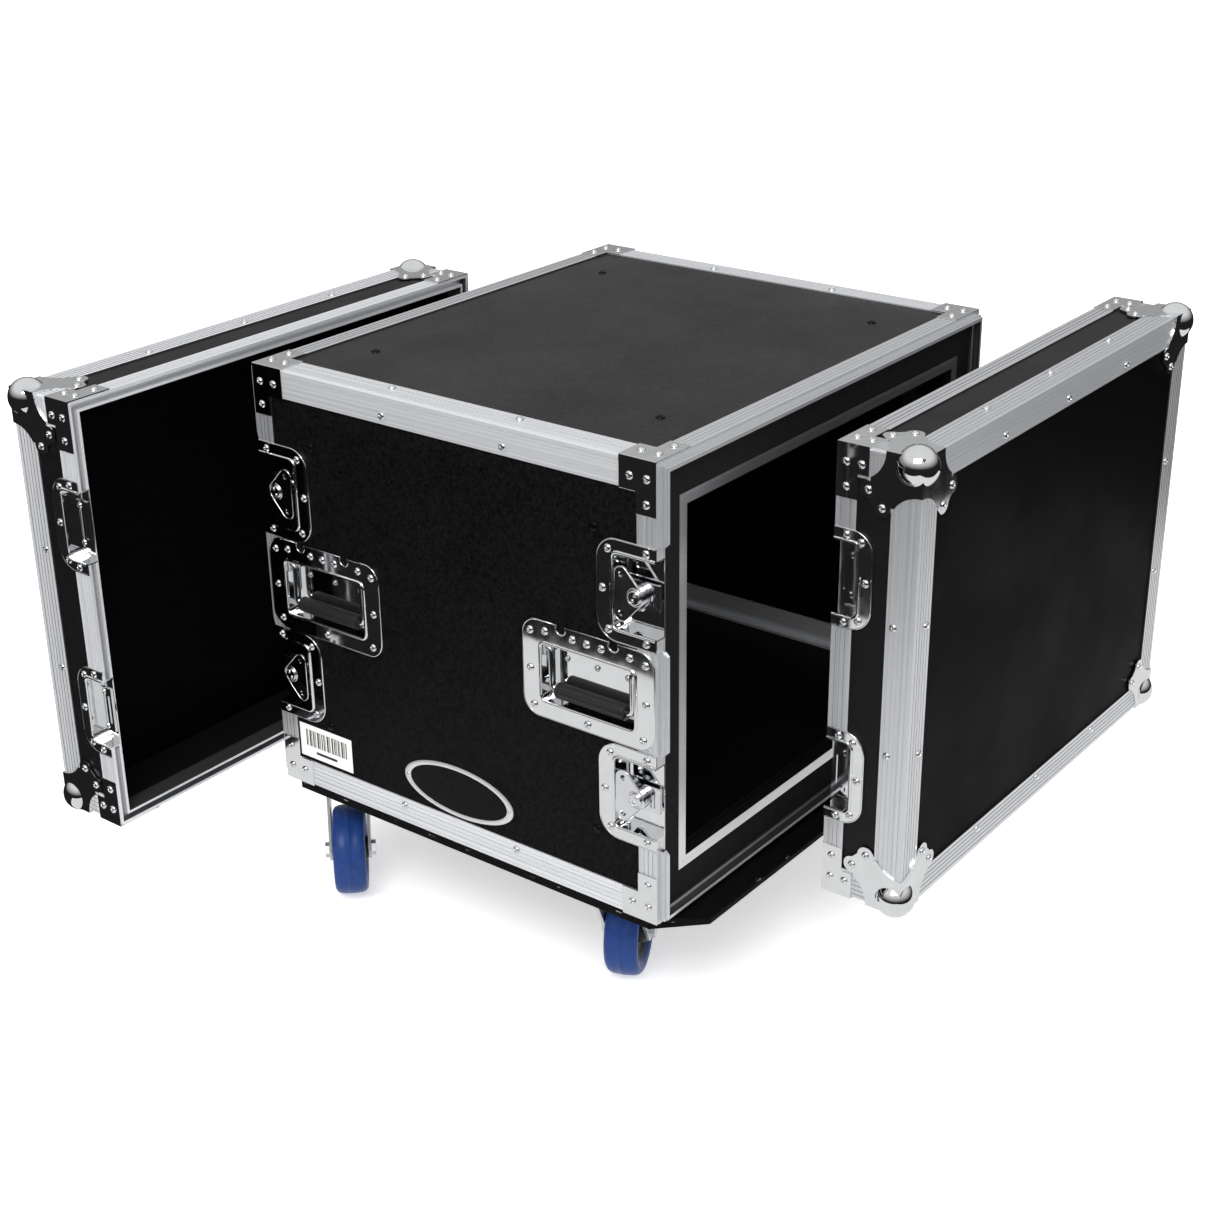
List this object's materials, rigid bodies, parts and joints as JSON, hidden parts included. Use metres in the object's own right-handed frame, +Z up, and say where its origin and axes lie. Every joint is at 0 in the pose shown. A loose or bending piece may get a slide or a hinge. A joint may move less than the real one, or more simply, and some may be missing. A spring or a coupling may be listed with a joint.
{
  "type": "equipment rack case",
  "caption": "Shock-mounted rack flight case on swivel casters with lift-off front and rear lids, butterfly latches and recessed handles.",
  "frame": {"origin": "on the floor under the middle of the case", "axes": "+X along the case's width towards its right-hand handle side, -Y out of the front opening, +Z up"},
  "size_m": [0.9438, 0.8568, 0.6149],
  "materials": {
    "laminate": "fine textured black laminate on plywood",
    "extrusion": "satin, ribbed",
    "chrome": "bright plated",
    "rivet": "bright plated",
    "zinc": "zinc plated",
    "black_screw": "black",
    "black_steel": "black powder coat",
    "foam": "matt black foam",
    "board": "black laminate",
    "badge": "chrome rim round a blank black field",
    "grip": "ribbed rubber on plated steel",
    "wheel": "blue elastic tyre"
  },
  "bodies": {
    "root": {"top_panel": "laminate", "bottom_panel": "laminate", "side_panels": "laminate", "edge_angles": "extrusion", "rim_frames": "extrusion", "corner_braces": "chrome", "case_rivets": "rivet", "panel_screws": "black_screw", "foam_liner": "foam", "inner_sleeve": "laminate", "inner_edging": "extrusion", "rack_rails": "black_steel", "side_bars": "extrusion", "caster_board": "board", "caster_plates": "zinc", "latch_dishes": "chrome", "handle_dishes": "chrome", "nameplate": "badge"},
    "front_lid": {"front_lid_panel": "laminate", "front_lid_walls": "laminate", "front_lid_edge_angles": "extrusion", "front_lid_rim": "extrusion", "front_lid_corners": "chrome", "front_lid_keepers": "chrome", "front_lid_rivets": "rivet"},
    "rear_lid": {"rear_lid_panel": "laminate", "rear_lid_walls": "laminate", "rear_lid_edge_angles": "extrusion", "rear_lid_rim": "extrusion", "rear_lid_corners": "chrome", "rear_lid_keepers": "chrome", "rear_lid_rivets": "rivet"},
    "wing_left_front_upper": {"wing_left_front_upper": "zinc"},
    "hook_left_front_upper": {"hook_left_front_upper": "zinc"},
    "wing_left_front_lower": {"wing_left_front_lower": "zinc"},
    "hook_left_front_lower": {"hook_left_front_lower": "zinc"},
    "handle_left_front": {"handle_left_front": "grip"},
    "wing_left_rear_upper": {"wing_left_rear_upper": "zinc"},
    "hook_left_rear_upper": {"hook_left_rear_upper": "zinc"},
    "wing_left_rear_lower": {"wing_left_rear_lower": "zinc"},
    "hook_left_rear_lower": {"hook_left_rear_lower": "zinc"},
    "handle_left_rear": {"handle_left_rear": "grip"},
    "wing_right_front_upper": {"wing_right_front_upper": "zinc"},
    "hook_right_front_upper": {"hook_right_front_upper": "zinc"},
    "wing_right_front_lower": {"wing_right_front_lower": "zinc"},
    "hook_right_front_lower": {"hook_right_front_lower": "zinc"},
    "handle_right_front": {"handle_right_front": "grip"},
    "wing_right_rear_upper": {"wing_right_rear_upper": "zinc"},
    "hook_right_rear_upper": {"hook_right_rear_upper": "zinc"},
    "wing_right_rear_lower": {"wing_right_rear_lower": "zinc"},
    "hook_right_rear_lower": {"hook_right_rear_lower": "zinc"},
    "handle_right_rear": {"handle_right_rear": "grip"},
    "fork_left_front": {"fork_left_front": "zinc"},
    "wheel_left_front": {"wheel_left_front": "wheel"},
    "fork_left_rear": {"fork_left_rear": "zinc"},
    "wheel_left_rear": {"wheel_left_rear": "wheel"},
    "fork_right_front": {"fork_right_front": "zinc"},
    "wheel_right_front": {"wheel_right_front": "wheel"},
    "fork_right_rear": {"fork_right_rear": "zinc"},
    "wheel_right_rear": {"wheel_right_rear": "wheel"}
  },
  "joints": [
    {"name": "front_lid_off", "type": "slide", "parent": "root", "child": "front_lid", "axis": [0.902, -0.427, -0.064], "range_m": [-0.18666, 0]},
    {"name": "rear_lid_off", "type": "slide", "parent": "root", "child": "rear_lid", "axis": [-0.902, 0.427, -0.064], "range_m": [-0.18666, 0]},
    {"name": "wing_turn_left_front_upper", "type": "hinge", "parent": "root", "child": "wing_left_front_upper", "pos_m": [-0.294, -0.229, 0.48], "axis": [-1, 0, 0], "range_deg": [0, 180]},
    {"name": "hook_slide_left_front_upper", "type": "slide", "parent": "root", "child": "hook_left_front_upper", "axis": [0, -1, 0], "range_m": [0, 0.0141]},
    {"name": "wing_turn_left_front_lower", "type": "hinge", "parent": "root", "child": "wing_left_front_lower", "pos_m": [-0.294, -0.229, 0.272], "axis": [-1, 0, 0], "range_deg": [0, 180]},
    {"name": "hook_slide_left_front_lower", "type": "slide", "parent": "root", "child": "hook_left_front_lower", "axis": [0, -1, 0], "range_m": [0, 0.0141]},
    {"name": "handle_lift_left_front", "type": "hinge", "parent": "root", "child": "handle_left_front", "pos_m": [-0.288, -0.1715, 0.397], "axis": [0, 1, 0], "range_deg": [0, 90], "stiffness_Nm_per_rad": 0.4},
    {"name": "wing_turn_left_rear_upper", "type": "hinge", "parent": "root", "child": "wing_left_rear_upper", "pos_m": [-0.294, 0.229, 0.48], "axis": [-1, 0, 0], "range_deg": [0, 180]},
    {"name": "hook_slide_left_rear_upper", "type": "slide", "parent": "root", "child": "hook_left_rear_upper", "axis": [0, 1, 0], "range_m": [0, 0.0141]},
    {"name": "wing_turn_left_rear_lower", "type": "hinge", "parent": "root", "child": "wing_left_rear_lower", "pos_m": [-0.294, 0.229, 0.272], "axis": [-1, 0, 0], "range_deg": [0, 180]},
    {"name": "hook_slide_left_rear_lower", "type": "slide", "parent": "root", "child": "hook_left_rear_lower", "axis": [0, 1, 0], "range_m": [0, 0.0141]},
    {"name": "handle_lift_left_rear", "type": "hinge", "parent": "root", "child": "handle_left_rear", "pos_m": [-0.288, 0.1715, 0.397], "axis": [0, 1, 0], "range_deg": [0, 90], "stiffness_Nm_per_rad": 0.4},
    {"name": "wing_turn_right_front_upper", "type": "hinge", "parent": "root", "child": "wing_right_front_upper", "pos_m": [0.294, -0.229, 0.48], "axis": [1, 0, 0], "range_deg": [0, 180]},
    {"name": "hook_slide_right_front_upper", "type": "slide", "parent": "root", "child": "hook_right_front_upper", "axis": [0, -1, 0], "range_m": [0, 0.0141]},
    {"name": "wing_turn_right_front_lower", "type": "hinge", "parent": "root", "child": "wing_right_front_lower", "pos_m": [0.294, -0.229, 0.272], "axis": [1, 0, 0], "range_deg": [0, 180]},
    {"name": "hook_slide_right_front_lower", "type": "slide", "parent": "root", "child": "hook_right_front_lower", "axis": [0, -1, 0], "range_m": [0, 0.0141]},
    {"name": "handle_lift_right_front", "type": "hinge", "parent": "root", "child": "handle_right_front", "pos_m": [0.288, -0.1715, 0.397], "axis": [0, -1, 0], "range_deg": [0, 90], "stiffness_Nm_per_rad": 0.4},
    {"name": "wing_turn_right_rear_upper", "type": "hinge", "parent": "root", "child": "wing_right_rear_upper", "pos_m": [0.294, 0.229, 0.48], "axis": [1, 0, 0], "range_deg": [0, 180]},
    {"name": "hook_slide_right_rear_upper", "type": "slide", "parent": "root", "child": "hook_right_rear_upper", "axis": [0, 1, 0], "range_m": [0, 0.0141]},
    {"name": "wing_turn_right_rear_lower", "type": "hinge", "parent": "root", "child": "wing_right_rear_lower", "pos_m": [0.294, 0.229, 0.272], "axis": [1, 0, 0], "range_deg": [0, 180]},
    {"name": "hook_slide_right_rear_lower", "type": "slide", "parent": "root", "child": "hook_right_rear_lower", "axis": [0, 1, 0], "range_m": [0, 0.0141]},
    {"name": "handle_lift_right_rear", "type": "hinge", "parent": "root", "child": "handle_right_rear", "pos_m": [0.288, 0.1715, 0.397], "axis": [0, -1, 0], "range_deg": [0, 90], "stiffness_Nm_per_rad": 0.4},
    {"name": "caster_swivel_left_front", "type": "hinge", "parent": "root", "child": "fork_left_front", "pos_m": [-0.235, -0.163, 0.1], "axis": [0, 0, 1], "continuous": true},
    {"name": "wheel_roll_left_front", "type": "hinge", "parent": "fork_left_front", "child": "wheel_left_front", "pos_m": [-0.20211, -0.14836, 0.05], "axis": [-0.4067, 0.9135, 0], "continuous": true},
    {"name": "caster_swivel_left_rear", "type": "hinge", "parent": "root", "child": "fork_left_rear", "pos_m": [-0.235, 0.221, 0.1], "axis": [0, 0, 1], "continuous": true},
    {"name": "wheel_roll_left_rear", "type": "hinge", "parent": "fork_left_rear", "child": "wheel_left_rear", "pos_m": [-0.26133, 0.19645, 0.05], "axis": [0.682, -0.7314, 0], "continuous": true},
    {"name": "caster_swivel_right_front", "type": "hinge", "parent": "root", "child": "fork_right_front", "pos_m": [0.235, -0.163, 0.1], "axis": [0, 0, 1], "continuous": true},
    {"name": "wheel_roll_right_front", "type": "hinge", "parent": "fork_right_front", "child": "wheel_right_front", "pos_m": [0.26175, -0.13891, 0.05], "axis": [-0.6691, 0.7431, 0], "continuous": true},
    {"name": "caster_swivel_right_rear", "type": "hinge", "parent": "root", "child": "fork_right_rear", "pos_m": [0.235, 0.221, 0.1], "axis": [0, 0, 1], "continuous": true},
    {"name": "wheel_roll_right_rear", "type": "hinge", "parent": "fork_right_rear", "child": "wheel_right_rear", "pos_m": [0.20237, 0.20579, 0.05], "axis": [0.4226, -0.9063, 0], "continuous": true}
  ],
  "couplings": [
    {"joint": "hook_slide_left_front_upper", "follows": "wing_turn_left_front_upper", "m_per_rad": 0.0044563},
    {"joint": "hook_slide_left_front_lower", "follows": "wing_turn_left_front_lower", "m_per_rad": 0.0044563},
    {"joint": "hook_slide_left_rear_upper", "follows": "wing_turn_left_rear_upper", "m_per_rad": 0.0044563},
    {"joint": "hook_slide_left_rear_lower", "follows": "wing_turn_left_rear_lower", "m_per_rad": 0.0044563},
    {"joint": "hook_slide_right_front_upper", "follows": "wing_turn_right_front_upper", "m_per_rad": 0.0044563},
    {"joint": "hook_slide_right_front_lower", "follows": "wing_turn_right_front_lower", "m_per_rad": 0.0044563},
    {"joint": "hook_slide_right_rear_upper", "follows": "wing_turn_right_rear_upper", "m_per_rad": 0.0044563},
    {"joint": "hook_slide_right_rear_lower", "follows": "wing_turn_right_rear_lower", "m_per_rad": 0.0044563}
  ]
}
